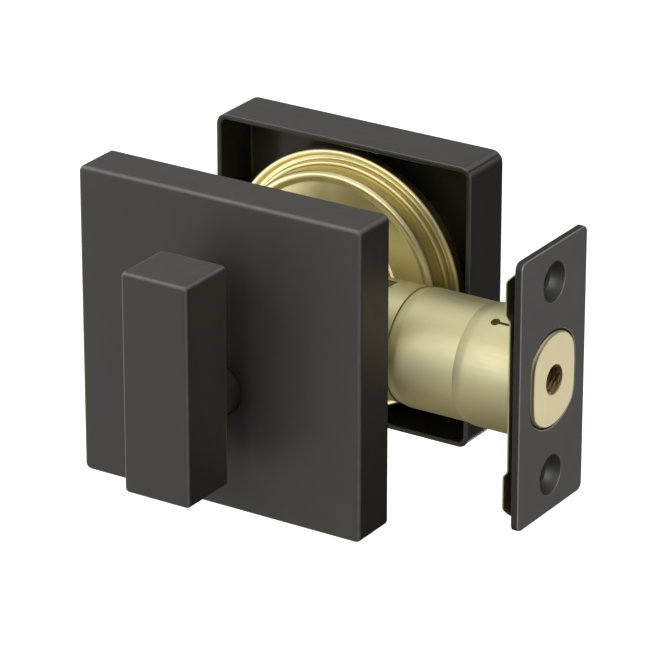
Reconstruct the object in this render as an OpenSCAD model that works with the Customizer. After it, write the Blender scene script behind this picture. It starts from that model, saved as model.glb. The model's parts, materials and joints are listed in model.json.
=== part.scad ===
// Square single cylinder deadbolt: two hollow roses, thumbturn, key cylinder and tubular latch.
// Origin: where the bolt's axis crosses the spindle's plane, in the middle of the door.
// +X points to the door's edge, -Y to the inside of the house, +Z up. Millimetres.

/* [Door] */
// Thickness of the door between the two roses
door_t = 35; // [34:0.5:44]
// Distance from the door's edge to the middle of the cross bore
backset = 60.3; // [60:0.1:70]
// Diameter of the cross bore that the trim covers
cross_bore_d = 54; // [53:0.2:54.4]

/* [Roses] */
// Side of the square interior rose
inner_side = 66.5; // [64:0.5:72]
// Depth of the interior rose
inner_depth = 10.5; // [10:0.5:14]
// Side of the square exterior rose
outer_side = 61.5; // [60.5:0.5:72]
// Depth of the exterior rose
outer_depth = 13; // [13:0.5:15]
// Height of the roses' middle above the bolt's axis
rose_rise = 1.5; // [1:0.1:1.7]
// Wall of both roses
rose_wall = 1.2; // [1.1:0.1:1.6]
// Front skin of both roses
rose_face = 2; // [1.6:0.2:2.4]

/* [Thumbturn] */
// Width of the grip bar
bar_w = 15.5; // [12:0.5:18]
// Height of the grip bar
bar_h = 47; // [40:0.5:52]
// Depth of the grip bar
bar_d = 14; // [12:0.5:18]
// Finger gap between the bar and the rose
bar_gap = 8; // [7:0.5:11]
// Radius of the round shank behind the bar
hub_r = 5.2; // [5:0.1:5.8]
// Turn of the thumbturn from unlocked to locked, in degrees
turn_deg = 90; // [88:1:90]

/* [Bolt] */
// Travel of the bolt
throw = 25.4; // [24:0.1:25.4]
// Radius of the bolt head
bolt_r = 10; // [9.8:0.1:10]
// Half width across the bolt's flats
bolt_flat = 8.5; // [8.2:0.1:9]
// How far the drawn-back bolt stands out of the faceplate
bolt_proud = 0.4; // [0:0.1:0.8]
// Depth of the spindle's axis below the bolt's axis
spindle_drop = 6; // [6:0.1:6.4]

/* [Latch] */
// Width of the faceplate
plate_w = 25.4; // [25:0.1:28]
// Height of the faceplate
plate_h = 57.15; // [56:0.05:60]
// Distance between the faceplate's screw holes
plate_screws = 41.3; // [40:0.1:42]
// Radius of the faceplate's screw holes
plate_hole_r = 2.4; // [2.2:0.1:2.6]
// Radius of the collar that sits in the edge bore
sleeve_r = 12.65; // [12.6:0.01:12.7]

/* [Key cylinder] */
// Radius of the turning plug
plug_r = 6.35; // [6.2:0.05:6.4]
// Number of pin chambers
pin_count = 5; // [3:1:5]
// Distance between pin chambers
pin_pitch = 3.81; // [3.6:0.01:3.81]

/* [Hidden] */
$fn = 96;
EPS = 0.01;
FAR = 60;
RUN_FIT = 0.06;
CLEAR = 0.3;

door_in = -door_t / 2;
door_out = door_t / 2;
inner_face = door_in - inner_depth;
outer_face = door_out + outer_depth;
zs = -spindle_drop;

// Rounded edges
rose_edge = 1;
inner_corner = 1.2;
outer_corner = 2.5;
bar_edge = 0.9;

// Thumbturn shank, from the bar to the rose's hollow
bar_back = inner_face - bar_gap;
bar_front = bar_back - bar_d;
hub_end = door_in - 3.5;
hub_spigot_r = 4;
hub_spigot_len = 7;
clip_groove_r = 4.5;
clip_y = hub_end - 1.5;
clip_t = 0.8;
clip_r = 8.5;
bushing_r = 9;
bushing_len = 2.8;
bushing_y = inner_face + rose_face;
washer_t = 0.6;

// Interior mounting plate and its screws
mount_t = 2;
mount_side = 57;
screw_x = 19;
screw_r = 2.4;
screw_head_r = 4.2;
screw_head_t = 2.4;
screw_end = door_out + 6.5;
tab_w = 10;
tab_t = 2;
tab_reach = 5;
grub_r = 1.6;
grub_len = 5;
grub_y = door_in - 4.6;

// Tailpiece blade
blade_t = 2;
blade_w = 6.6;
blade_gap = 0.3;
blade_in = hub_end - 10;
blade_out = 13.8;

// Stepped adapter behind the exterior rose
bore_room = 0.7;
boss_r = cross_bore_d / 2 - rose_rise - bore_room;
adapter_r = boss_r + 3.4;
adapter_t = 3;
boss_y = 13.5;
boss_round = 1.8;
ring_in = boss_r - 0.1;
ring_out = ring_in + 1;
ring_low = 0.1;
rim_in = adapter_r - 1.4;
rim_low = 0.4;
groove = 1.7;
post_r = 3.4;
post_end = 26;
post_head_r = 4.6;
post_head_t = 1.5;

// Key cylinder
housing_r = 15.4;
housing_face = outer_face + 8.5;
flange_r = 17;
flange_t = 1.6;
guard_r = 19.2;
guard_in = outer_face - rose_face - 2;
guard_proud = 0.4;
guard_rim_r = 21;
guard_rim_t = 1.8;
drive_r = 7.3;
drive_end = 19.3;
plug_in = 17.8;
plug_clip_y = 18.4;
plug_clip_t = 0.7;
plug_groove_r = 5.4;
plug_rim_r = 6.9;
plug_rim_t = 1.2;
pin_r = 1.38;
chamber_r = 1.45;
first_pin_y = 21.4;
cover_w = 4.8;
cover_z = 15.3;
cover_end = housing_face - 1.8;
driver_len = 5.2;
keyway_w = 2;
keyway_h = 8.4;
dog_in_r = 3.6;
dog_out_r = 6.2;
dog_t = 1.2;
dog_reach = 2.5;

// Cam case
case_r = 12;
case_chamfer = 1.5;
case_in = -23;
case_step = 28.7;
case_out = 34.2;
spigot_r = 11.1;
head_bore_r = bolt_r + CLEAR;
head_bore_in = 22.6;
case_screw_r = 3;
cam_hub_r = 4.54;
cam_hub_len = 20.4;
cheek_in = 1.6;
cheek_out = 3.6;
arm_half = 2.2;
arm_gap = 0.4;
crank_r = throw / 2 / sin(turn_deg / 2);
crank_pin_r = 1.8;
crank_slot = 2 * (crank_pin_r + 0.65);
tail_t = 2.5;
tail_slot = tail_t + 0.7;
rivet_r = 1.2;
rivet_sink = 0.2;
rivet_places = [[-20.4, 6.6], [-20.4, -6.6], [18.2, -7.8]];
detent_x = 5.1;
detent_len = 9.9;
detent_w = 5;
detent_t = 0.5;
detent_drop = 3;

// Bolt
bolt_front = backset + bolt_proud;
bolt_back = head_bore_in + 0.7;
bolt_round = 0.8;
bolt_hole_r = 2.9;
bolt_hole_depth = 9;
roller_r = 3.35;
roller_in = 30;
roller_out = 50;
tail_low = 4.6;
tail_high = 9.6;
fork_low = 3.6;
fork_high = 12.2;
fork_wall = 1.8;
tail_end = 31.3;
tail_rivet_x = 27.3;
tail_rivet_z = (tail_low + tail_high) / 2;

// Tube, collar and plates
tube_r = 12.3;
tube_nest_r = 11.5;
shoulder_r = 11.3;
shoulder_len = 2.4;
sleeve_in = 44.5;
slit_x = 50;
slit_hole_r = 0.9;
slit_w = 0.6;
slit_deg = 23;
plate_t = 1.6;
plate_corner = 1.6;
plate_back = backset - plate_t;
sink_r = 4.2;
sink_depth = 2.2;
cup_r = 5.6;
cup_tip_r = 3.3;
cup_depth = 1.7;

// Formed sheet behind the faceplate: height and gap to the faceplate at each bend
backing_t = 0.4;
backing_gap = 0.8;
backing_back = plate_back - backing_gap - backing_t;
screw_z = plate_screws / 2;
bends = [[screw_z + 5.75, 0.02], [screw_z + 3.35, cup_depth + 0.05],
    [screw_z - 3.35, cup_depth + 0.05], [screw_z - 4.95, backing_gap]];

// ---- shapes used by many pieces ----

// Flat rectangle with round corners, centred
module round_rect(w, h, r) {
    square([w - 2 * r, h], center = true);
    square([w, h - 2 * r], center = true);
    for (x = [-1, 1], y = [-1, 1])
        translate([x * (w / 2 - r), y * (h / 2 - r)]) circle(r);
}

// Rod along Y
module rod_y(y0, y1, r, x = 0, z = 0) {
    translate([x, y0, z]) rotate([-90, 0, 0]) cylinder(h = y1 - y0, r = r);
}

// Rod along X
module rod_x(x0, x1, r, y = 0, z = 0) {
    translate([x0, y, z]) rotate([0, 90, 0]) cylinder(h = x1 - x0, r = r);
}

// Rod along Z
module rod_z(z0, z1, r, x = 0, y = 0) {
    translate([x, y, z0]) cylinder(h = z1 - z0, r = r);
}

// Block between two corners
module block(low, high) {
    translate(low) cube(high - low);
}

// Ring along Y
module ring_y(y0, y1, r_in, r_out, x = 0, z = 0) {
    difference() {
        rod_y(y0, y1, r_out, x, z);
        rod_y(y0 - EPS, y1 + EPS, r_in, x, z);
    }
}

// Flat outline in X and Z, made solid from y0 to y1
module slab_y(y0, y1) {
    translate([0, y1, 0]) rotate([90, 0, 0]) linear_extrude(y1 - y0) children();
}

// Flat outline in Y and Z, made solid from x0 to x1
module slab_x(x0, x1) {
    translate([x0, 0, 0]) rotate([90, 0, 90]) linear_extrude(x1 - x0) children();
}

// Block centred in X and Z, from y0 to y1, with every edge rounded
module soft_block(w, h, y0, y1, r) {
    depth = y1 - y0;
    mid = (y0 + y1) / 2;
    intersection() {
        slab_y(y0, y1) round_rect(w, h, r);
        slab_x(-w, w) translate([mid, 0]) round_rect(depth, h, r);
        translate([0, mid, -h]) linear_extrude(2 * h) round_rect(w, depth, r);
    }
}

// Hollow square cover: rim at y = 0, face at y = -depth
module cover(side, depth, corner) {
    hollow = side - 2 * rose_wall;
    difference() {
        intersection() {
            slab_y(-depth, 0) round_rect(side, side, corner);
            soft_block(side, side, -depth, depth, rose_edge);
        }
        slab_y(rose_face - depth, EPS) round_rect(hollow, hollow, corner);
    }
}

// Slot for the tailpiece blade, or the blade itself when gap is 0
module blade_shape(y0, y1, gap) {
    t = blade_t / 2 + gap / 2;
    w = blade_w / 2 + gap;
    block([-t, y0, zs - w], [t, y1, zs + w]);
}

// Half length of a rivet across a round body, sunk a little below its surface at height z
function chord_half(r, z) = sqrt(r * r - z * z) - rivet_sink;

// ---- interior side ----

module inner_rose() {
    color([0.28, 0.28, 0.27])
    difference() {
        translate([0, door_in, rose_rise]) cover(inner_side, inner_depth, inner_corner);
        rod_y(inner_face - 1, door_in, hub_r + CLEAR, 0, zs);
        rod_z(rose_rise - inner_side, rose_rise - inner_side / 4, grub_r + CLEAR, 0, grub_y);
    }
}

module thumbturn_bar() {
    color([0.3, 0.3, 0.29])
    difference() {
        translate([0, 0, rose_rise]) soft_block(bar_w, bar_h, bar_front, bar_back, bar_edge);
        rod_y(bar_back - hub_spigot_len, bar_back + 1, hub_spigot_r, 0, zs);
    }
}

module thumbturn_hub() {
    color([0.2, 0.2, 0.19])
    difference() {
        union() {
            rod_y(bar_back, hub_end, hub_r, 0, zs);
            rod_y(bar_back - hub_spigot_len, bar_back + 1, hub_spigot_r, 0, zs);
        }
        ring_y(clip_y, clip_y + clip_t, clip_groove_r, hub_r + 1, 0, zs);
        blade_shape(blade_in - 1, hub_end + 1, blade_gap);
    }
}

module hub_bushing() {
    color([0.85, 0.84, 0.78])
    ring_y(bushing_y, bushing_y + bushing_len, hub_r + RUN_FIT, bushing_r, 0, zs);
}

module friction_washer() {
    y = bushing_y + bushing_len;
    color([0.62, 0.62, 0.6]) ring_y(y, y + washer_t, hub_r + CLEAR, clip_r, 0, zs);
}

module retaining_clip() {
    gap_half = 3;
    color([0.5, 0.5, 0.5])
    difference() {
        ring_y(clip_y, clip_y + clip_t, clip_groove_r, clip_r, 0, zs);
        block([-gap_half, clip_y - 1, zs - 2 * clip_r], [gap_half, clip_y + clip_t + 1, zs - 1]);
    }
}

module inner_mount_plate() {
    back = door_in - mount_t;
    tab_z = rose_rise - inner_side / 2 + rose_wall + CLEAR;
    color([0.72, 0.68, 0.48])
    difference() {
        union() {
            slab_y(back, door_in) translate([0, rose_rise]) round_rect(mount_side, mount_side, 6);
            block([-tab_w / 2, back - tab_reach, tab_z], [tab_w / 2, back + EPS, tab_z + tab_t]);
            block([-tab_w / 2, back, tab_z], [tab_w / 2, door_in, tab_z + 2 * tab_t]);
        }
        rod_y(back - 1, door_in + 1, hub_r + 1, 0, zs);
        for (x = [-screw_x, screw_x]) rod_y(back - 1, door_in + 1, screw_r + CLEAR, x, 0);
        rod_z(tab_z - 1, tab_z + tab_t + 1, grub_r, 0, grub_y);
    }
}

module rose_set_screw() {
    top = rose_rise - inner_side / 2 + 0.4 + grub_len;
    color([0.4, 0.4, 0.4])
    difference() {
        rod_z(top - grub_len, top, grub_r, 0, grub_y);
        translate([0, grub_y, top - grub_len - 1]) cylinder(h = 2.5, r = 0.9, $fn = 6);
    }
}

module through_screws() {
    head_y = door_in - mount_t;
    drive_half = 2.4;
    drive_deep = 2.4;
    color([0.7, 0.66, 0.46])
    for (x = [-screw_x, screw_x])
        difference() {
            union() {
                rod_y(head_y - screw_head_t, head_y, screw_head_r, x, 0);
                rod_y(head_y - EPS, screw_end, screw_r, x, 0);
            }
            for (a = [0, 90])
                translate([x, head_y - screw_head_t - 1, 0])
                rotate([0, a, 0])
                block([-drive_half, 0, -0.5], [drive_half, drive_deep, 0.5]);
        }
}

// ---- exterior side ----

module outer_rose() {
    color([0.26, 0.26, 0.25])
    difference() {
        translate([0, door_out, rose_rise])
        mirror([0, 1, 0])
        cover(outer_side, outer_depth, outer_corner);
        rod_y(door_out, outer_face + 1, guard_r + CLEAR, 0, rose_rise);
    }
}

// Section of a rib with a round crest, from radius r0 to r1 and from y0 to y1
module round_rib(r0, r1, y0, y1) {
    half = (r1 - r0) / 2;
    translate([r0, y0 + half]) square([r1 - r0, y1 - y0 - half]);
    translate([r0 + half, y0 + half]) circle(half);
}

// Half outline of the adapter: x is the radius, y runs from the boss's face outwards
module adapter_profile() {
    flange = door_out - boss_y;
    difference() {
        union() {
            square([boss_r - boss_round, flange + adapter_t]);
            translate([0, boss_round]) square([boss_r, flange + adapter_t - boss_round]);
            translate([boss_r - boss_round, boss_round]) circle(boss_round);
            translate([0, flange + groove]) square([adapter_r, adapter_t - groove]);
            round_rib(ring_in, ring_out, flange + ring_low, flange + groove + EPS);
            round_rib(rim_in, adapter_r, flange + rim_low, flange + groove + EPS);
        }
        translate([-FAR, -FAR]) square([FAR + housing_r, 2 * FAR]);
    }
}

module bore_adapter() {
    color([0.78, 0.73, 0.52])
    difference() {
        translate([0, boss_y, rose_rise])
        rotate([-90, 0, 0])
        rotate_extrude($fn = 160)
        adapter_profile();
        for (x = [-screw_x, screw_x]) rod_y(boss_y - 1, door_out + 10, post_r, x, 0);
    }
}

module screw_posts() {
    back = door_out + adapter_t;
    color([0.7, 0.7, 0.68])
    for (x = [-screw_x, screw_x])
        difference() {
            union() {
                rod_y(boss_y, post_end, post_r, x, 0);
                rod_y(back, back + post_head_t, post_head_r, x, 0);
            }
            rod_y(boss_y - 1, post_end + 1, screw_r + RUN_FIT, x, 0);
            rod_y(back - 1, post_end + 1, housing_r + EPS, 0, rose_rise);
        }
}

// Outline of the guard: x is the radius, y runs outwards from its inner end
module guard_profile() {
    length = housing_face + guard_proud - guard_in;
    seat = outer_face - guard_in;
    rim_half = guard_rim_t / 2;
    difference() {
        union() {
            square([guard_r, length - rose_edge]);
            square([guard_r - rose_edge, length]);
            translate([guard_r - rose_edge, length - rose_edge]) circle(rose_edge);
            translate([0, seat]) square([guard_rim_r, rim_half]);
            translate([0, seat]) square([guard_rim_r - rim_half, guard_rim_t]);
            translate([guard_rim_r - rim_half, seat + rim_half]) circle(rim_half);
        }
        translate([-FAR, -FAR]) square([FAR + housing_r + CLEAR, 2 * FAR]);
        translate([-FAR, housing_face - flange_t - guard_in]) square([FAR + flange_r + CLEAR, FAR]);
    }
}

module cylinder_guard() {
    color([0.24, 0.24, 0.23])
    translate([0, guard_in, rose_rise])
    rotate([-90, 0, 0])
    rotate_extrude()
    guard_profile();
}

// Axes of the pin chambers
module at_pins() {
    for (i = [0 : pin_count - 1]) translate([0, first_pin_y + i * pin_pitch, 0]) children();
}

module cylinder_housing() {
    top = rose_rise + housing_r;
    color([0.8, 0.74, 0.5])
    difference() {
        union() {
            rod_y(boss_y, housing_face, housing_r, 0, rose_rise);
            rod_y(housing_face - flange_t, housing_face, flange_r, 0, rose_rise);
        }
        rod_y(drive_end - 1, housing_face + 1, plug_r + RUN_FIT, 0, zs);
        rod_y(boss_y - 1, drive_end, drive_r, 0, zs);
        rod_y(housing_face - plug_rim_t + 0.5, housing_face + 1, plug_rim_r + CLEAR, 0, zs);
        at_pins() rod_z(zs, top, chamber_r);
        block([-cover_w / 2, drive_end, cover_z], [cover_w / 2, cover_end, top + 1]);
    }
}

module chamber_cover() {
    top = rose_rise + housing_r;
    color([0.82, 0.76, 0.52])
    intersection() {
        block([-cover_w / 2, drive_end, cover_z], [cover_w / 2, cover_end, top]);
        rod_y(drive_end, cover_end, housing_r, 0, rose_rise);
    }
}

module key_plug() {
    rim = housing_face - plug_rim_t + 0.7;
    color([0.85, 0.78, 0.55])
    difference() {
        union() {
            rod_y(plug_in, housing_face + 0.6, plug_r, 0, zs);
            rod_y(rim, housing_face + 0.6, plug_rim_r, 0, zs);
        }
        ring_y(plug_clip_y, plug_clip_y + plug_clip_t, plug_groove_r, plug_r + 1, 0, zs);
        block([-keyway_w / 2, drive_end, zs], [keyway_w / 2, housing_face + 2, zs + keyway_h / 2]);
        block([-keyway_w / 2 + 0.5, drive_end, zs - keyway_h / 2],
              [keyway_w / 2 + 0.3, housing_face + 2, zs + EPS]);
        at_pins() rod_z(zs, zs + plug_r + 1, chamber_r);
    }
}

module key_pins() {
    low = zs + 1.2;
    tip = 0.9;
    color([0.83, 0.7, 0.42])
    at_pins() {
        rod_z(low + tip, zs + plug_r - 0.3, pin_r);
        translate([0, 0, low]) cylinder(h = tip + EPS, r1 = 0.5, r2 = pin_r);
    }
}

module driver_pins() {
    low = zs + plug_r + CLEAR;
    color([0.75, 0.75, 0.73]) at_pins() rod_z(low, low + driver_len, pin_r);
}

// One closed coil spring: a ring of points swept along a helix
function coil_points(r, wire, low, high, turns, steps, sides) = [
    for (i = [0 : steps])
        let (a = 360 * turns * i / steps, z = low + (high - low) * i / steps)
        for (k = [0 : sides - 1])
            let (b = 360 * k / sides, d = r + wire * cos(b))
            [d * cos(a), d * sin(a), z + wire * sin(b)]
];

function coil_faces(steps, sides) = concat(
    [[for (k = [0 : sides - 1]) k]],
    [for (i = [0 : steps - 1], k = [0 : sides - 1])
        let (n = (k + 1) % sides)
        [i * sides + n, i * sides + k, (i + 1) * sides + k, (i + 1) * sides + n]],
    [[for (k = [sides - 1 : -1 : 0]) steps * sides + k]]
);

module pin_springs() {
    wire = 0.16;
    low = zs + plug_r + CLEAR + driver_len + wire;
    high = cover_z - wire;
    turns = 5;
    steps = 10 * turns;
    sides = 4;
    color([0.8, 0.8, 0.8])
    at_pins()
    polyhedron(coil_points(1.05, wire, low, high, turns, steps, sides), coil_faces(steps, sides));
}

// Disc with a raised sector: the lug stands from y_disc to y_lug
module dog(y0, y1, lug0, lug1, from_deg, to_deg) {
    rod_y(y0, y1, dog_out_r, 0, zs);
    intersection() {
        ring_y(lug0, lug1, dog_in_r, dog_out_r, 0, zs);
        translate([0, 0, zs])
        slab_y(lug0 - 1, lug1 + 1)
        polygon(concat([[0, 0]],
            [for (a = [from_deg, (from_deg + to_deg) / 2, to_deg]) 12 * [cos(a), sin(a)]]));
    }
}

module plug_driver() {
    color([0.7, 0.68, 0.6])
    dog(plug_in - dog_t, plug_in, plug_in - dog_t - dog_reach, plug_in - dog_t + EPS, 75, 105);
}

module plug_clip() {
    gap_half = 3.4;
    y = plug_clip_y;
    color([0.45, 0.45, 0.45])
    difference() {
        ring_y(y, y + plug_clip_t, plug_groove_r, drive_r - CLEAR, 0, zs);
        block([-gap_half, y - 1, zs - 2 * drive_r], [gap_half, y + plug_clip_t + 1, zs - 1]);
    }
}

module tailpiece() {
    color([0.66, 0.66, 0.64]) blade_shape(blade_in, blade_out, 0);
}

module tailpiece_dog() {
    color([0.62, 0.6, 0.52])
    difference() {
        dog(blade_out - dog_t, blade_out, blade_out - EPS, blade_out + dog_reach, -105, -75);
        blade_shape(blade_out - dog_t - 1, blade_out + EPS, 0);
    }
}

// ---- latch ----

// Both halves of the case in one piece
module case_body() {
    arm = arm_half + arm_gap;
    reach = throw / 2;
    low = arm * cos(turn_deg / 2);
    side = reach + arm + 0.1;
    difference() {
        union() {
            translate([case_in, 0, 0])
            rotate([0, 90, 0])
            rotate_extrude()
            polygon([[0, 0], [case_r - case_chamfer, 0], [case_r, case_chamfer],
                [case_r, case_step - case_in], [0, case_step - case_in]]);
            rod_x(case_step - 1, case_out, spigot_r);
        }
        rod_x(head_bore_in, case_out + 1, head_bore_r);
        for (x = [-screw_x, screw_x]) rod_y(-FAR, FAR, case_screw_r, x, 0);
        rod_y(-FAR, FAR, cam_hub_r + RUN_FIT, 0, zs);
        for (p = rivet_places) rod_y(-FAR, FAR, rivet_r, p[0], p[1]);
        block([case_in + 5, -tail_slot / 2, fork_low - CLEAR],
              [head_bore_in + 1, tail_slot / 2, case_r + 1]);
        slab_y(-cheek_out - arm_gap, cheek_out + arm_gap)
        polygon([[-low, zs - low], [-reach - low, zs + reach - low],
            [-side, zs + reach], [-side, case_r + 1], [side, case_r + 1],
            [side, zs + reach], [reach + low, zs + reach - low], [low, zs - low]]);
        rod_y(-cheek_out - arm_gap, cheek_out + arm_gap, cam_hub_r + arm_gap, 0, zs);
        detent_pocket();
    }
}

// Room for the leaf spring beside the cam's hub
module detent_pocket() {
    block([detent_x - 1, -detent_w / 2 - 0.5, zs - detent_drop - 0.6],
          [detent_x + detent_len + 0.5, detent_w / 2 + 0.5, zs - detent_drop + 1.4]);
}

module case_half_inner() {
    color([0.66, 0.63, 0.44])
    intersection() {
        case_body();
        block([-FAR, -FAR, -FAR], [FAR, 0, FAR]);
    }
}

module case_half_outer() {
    color([0.64, 0.61, 0.43])
    intersection() {
        case_body();
        block([-FAR, 0, -FAR], [FAR, FAR, FAR]);
    }
}

module case_rivets() {
    color([0.75, 0.72, 0.56])
    for (p = rivet_places) {
        half = chord_half(case_r, abs(p[1]) + rivet_r);
        rod_y(-half, half, rivet_r, p[0], p[1]);
    }
}

module cam() {
    half = cam_hub_len / 2;
    color([0.7, 0.67, 0.5])
    difference() {
        translate([0, 0, zs])
        rotate([0, -turn_deg / 2, 0]) {
            rod_y(-half, half, cam_hub_r);
            for (s = [-1, 1])
                slab_y(min(s * cheek_in, s * cheek_out), max(s * cheek_in, s * cheek_out))
                union() {
                    translate([-arm_half, 0]) square([2 * arm_half, crank_r]);
                    translate([0, crank_r]) circle(arm_half);
                }
            rod_y(-cheek_out, cheek_out, crank_pin_r, 0, crank_r);
        }
        blade_shape(-half - 1, half + 1, blade_gap);
    }
}

// Bent leaf that presses on the hub's underside
module detent_spring() {
    low = zs - detent_drop;
    far_end = detent_x + detent_len - detent_t;
    color([0.55, 0.58, 0.62])
    slab_y(-detent_w / 2, detent_w / 2) {
        translate([detent_x, low]) square([detent_len, detent_t]);
        translate([far_end, low]) square([detent_t, 1.2]);
        translate([detent_x, low]) square([detent_t, 0.9]);
    }
}

// Outline of the bolt's cross section, grown by g: a circle with two flats
module bolt_outline(g) {
    intersection() {
        circle(bolt_r + g);
        square([2 * (bolt_flat + g), 4 * bolt_r], center = true);
    }
}

module bolt() {
    len = bolt_front - bolt_back;
    tail_gap = 0.1;
    color([0.86, 0.8, 0.58])
    difference() {
        intersection() {
            translate([bolt_back, 0, 0])
            rotate([0, 90, 0])
            rotate_extrude()
            union() {
                square([bolt_r, len - bolt_round]);
                square([bolt_r - bolt_round, len]);
                translate([bolt_r - bolt_round, len - bolt_round]) circle(bolt_round);
            }
            slab_x(bolt_back, bolt_front) bolt_outline(0);
        }
        rod_x(bolt_front - bolt_hole_depth, bolt_front + 1, bolt_hole_r);
        rod_x(bolt_back - 1, roller_out, roller_r);
        block([bolt_back - 1, -tail_t / 2, tail_low - tail_gap],
              [tail_end, tail_t / 2, tail_high + tail_gap]);
        rod_y(-FAR, FAR, rivet_r, tail_rivet_x, tail_rivet_z);
    }
}

module bolt_roller() {
    color([0.6, 0.6, 0.62]) rod_x(roller_in, roller_out, roller_r - RUN_FIT);
}

module bolt_tail() {
    fork_x = -throw / 2;
    wall = crank_slot / 2 + fork_wall;
    color([0.7, 0.68, 0.58])
    difference() {
        slab_y(-tail_t / 2, tail_t / 2) {
            translate([fork_x - wall, fork_low]) square([2 * wall, fork_high - fork_low]);
            translate([fork_x, tail_low]) square([tail_end - fork_x, tail_high - tail_low]);
        }
        block([fork_x - crank_slot / 2, -5, fork_low + 0.9],
              [fork_x + crank_slot / 2, 5, fork_high + 1]);
        rod_y(-FAR, FAR, rivet_r, tail_rivet_x, tail_rivet_z);
    }
}

module tail_rivet() {
    half = chord_half(bolt_r, tail_rivet_z + rivet_r);
    color([0.75, 0.73, 0.62]) rod_y(-half, half, rivet_r, tail_rivet_x, tail_rivet_z);
}

module latch_tube() {
    color([0.68, 0.64, 0.44])
    difference() {
        union() {
            translate([case_step, 0, 0])
            rotate([0, 90, 0])
            cylinder(h = shoulder_len, r1 = shoulder_r, r2 = tube_r);
            rod_x(case_step + shoulder_len, sleeve_in, tube_r);
            rod_x(case_step + shoulder_len, backing_back, tube_nest_r);
        }
        rod_x(case_step - 1, backing_back + 1, head_bore_r);
        rod_x(case_step - 1, case_out, spigot_r);
    }
}

module latch_sleeve() {
    color([0.7, 0.66, 0.45])
    difference() {
        rod_x(sleeve_in, backing_back, sleeve_r);
        rod_x(sleeve_in - 1, backing_back + 1, tube_nest_r);
        rotate([slit_deg, 0, 0]) {
            rod_z(0, sleeve_r + 1, slit_hole_r, slit_x);
            block([slit_x, -slit_w / 2, 0], [backing_back + 1, slit_w / 2, sleeve_r + 1]);
        }
    }
}

// Edge outline of the formed sheet: x is along the bolt, y is up
function sheet_side(extra) = concat(
    [for (b = bends) [plate_back - b[1] - extra, b[0]]],
    [for (i = [len(bends) - 1 : -1 : 0]) [plate_back - bends[i][1] - extra, -bends[i][0]]]);

module backing_plate() {
    half_w = plate_w / 2 - 0.1;
    back = sheet_side(backing_t);
    low = plate_back - plate_t - cup_depth;
    color([0.84, 0.79, 0.55])
    difference() {
        slab_y(-half_w, half_w)
        polygon(concat(sheet_side(0), [for (i = [len(back) - 1 : -1 : 0]) back[i]]));
        slab_x(low, plate_back) bolt_outline(CLEAR);
        for (z = [-screw_z, screw_z]) rod_x(low, plate_back, plate_hole_r + 0.3, 0, z);
    }
}

module faceplate() {
    color([0.29, 0.29, 0.28])
    difference() {
        union() {
            slab_x(plate_back, backset) round_rect(plate_w, plate_h, plate_corner);
            for (z = [-screw_z, screw_z])
                translate([plate_back - cup_depth, 0, z])
                rotate([0, 90, 0])
                cylinder(h = cup_depth + EPS, r1 = cup_tip_r, r2 = cup_r);
        }
        slab_x(plate_back - 1, backset + 1) bolt_outline(CLEAR);
        for (z = [-screw_z, screw_z]) {
            rod_x(plate_back - cup_depth - 1, backset + 1, plate_hole_r, 0, z);
            translate([backset - sink_depth, 0, z])
            rotate([0, 90, 0])
            cylinder(h = sink_depth + EPS, r1 = plate_hole_r, r2 = sink_r);
        }
    }
}

inner_rose();
thumbturn_bar();
thumbturn_hub();
hub_bushing();
friction_washer();
retaining_clip();
inner_mount_plate();
rose_set_screw();
through_screws();
outer_rose();
bore_adapter();
screw_posts();
cylinder_guard();
cylinder_housing();
key_plug();
key_pins();
driver_pins();
pin_springs();
chamber_cover();
plug_driver();
plug_clip();
tailpiece();
tailpiece_dog();
case_half_inner();
case_half_outer();
case_rivets();
latch_tube();
latch_sleeve();
cam();
detent_spring();
bolt();
bolt_roller();
bolt_tail();
tail_rivet();
backing_plate();
faceplate();
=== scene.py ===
import json
import math

import bmesh
import bpy
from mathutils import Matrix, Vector


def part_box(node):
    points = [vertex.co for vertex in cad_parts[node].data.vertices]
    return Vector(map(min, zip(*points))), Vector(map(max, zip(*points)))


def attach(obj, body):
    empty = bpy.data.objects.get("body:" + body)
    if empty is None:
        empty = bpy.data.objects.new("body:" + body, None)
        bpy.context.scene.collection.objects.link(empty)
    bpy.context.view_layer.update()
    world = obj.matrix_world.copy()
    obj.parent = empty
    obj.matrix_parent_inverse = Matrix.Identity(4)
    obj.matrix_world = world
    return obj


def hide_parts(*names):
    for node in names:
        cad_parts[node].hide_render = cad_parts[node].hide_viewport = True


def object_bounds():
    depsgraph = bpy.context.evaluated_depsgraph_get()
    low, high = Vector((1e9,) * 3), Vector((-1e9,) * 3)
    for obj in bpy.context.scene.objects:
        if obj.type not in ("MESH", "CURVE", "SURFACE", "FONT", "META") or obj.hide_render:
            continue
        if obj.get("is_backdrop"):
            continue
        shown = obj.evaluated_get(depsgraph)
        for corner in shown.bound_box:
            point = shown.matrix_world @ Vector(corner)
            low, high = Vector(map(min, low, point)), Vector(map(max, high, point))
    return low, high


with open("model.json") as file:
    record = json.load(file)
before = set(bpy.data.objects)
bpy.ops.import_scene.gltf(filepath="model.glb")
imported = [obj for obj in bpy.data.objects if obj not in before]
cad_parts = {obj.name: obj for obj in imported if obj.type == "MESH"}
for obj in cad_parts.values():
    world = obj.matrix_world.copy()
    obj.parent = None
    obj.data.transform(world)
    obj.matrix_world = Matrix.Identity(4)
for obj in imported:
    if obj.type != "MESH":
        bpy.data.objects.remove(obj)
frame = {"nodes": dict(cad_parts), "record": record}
cad_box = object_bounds()

MM = 0.001
TURN = 2 * math.pi

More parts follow.
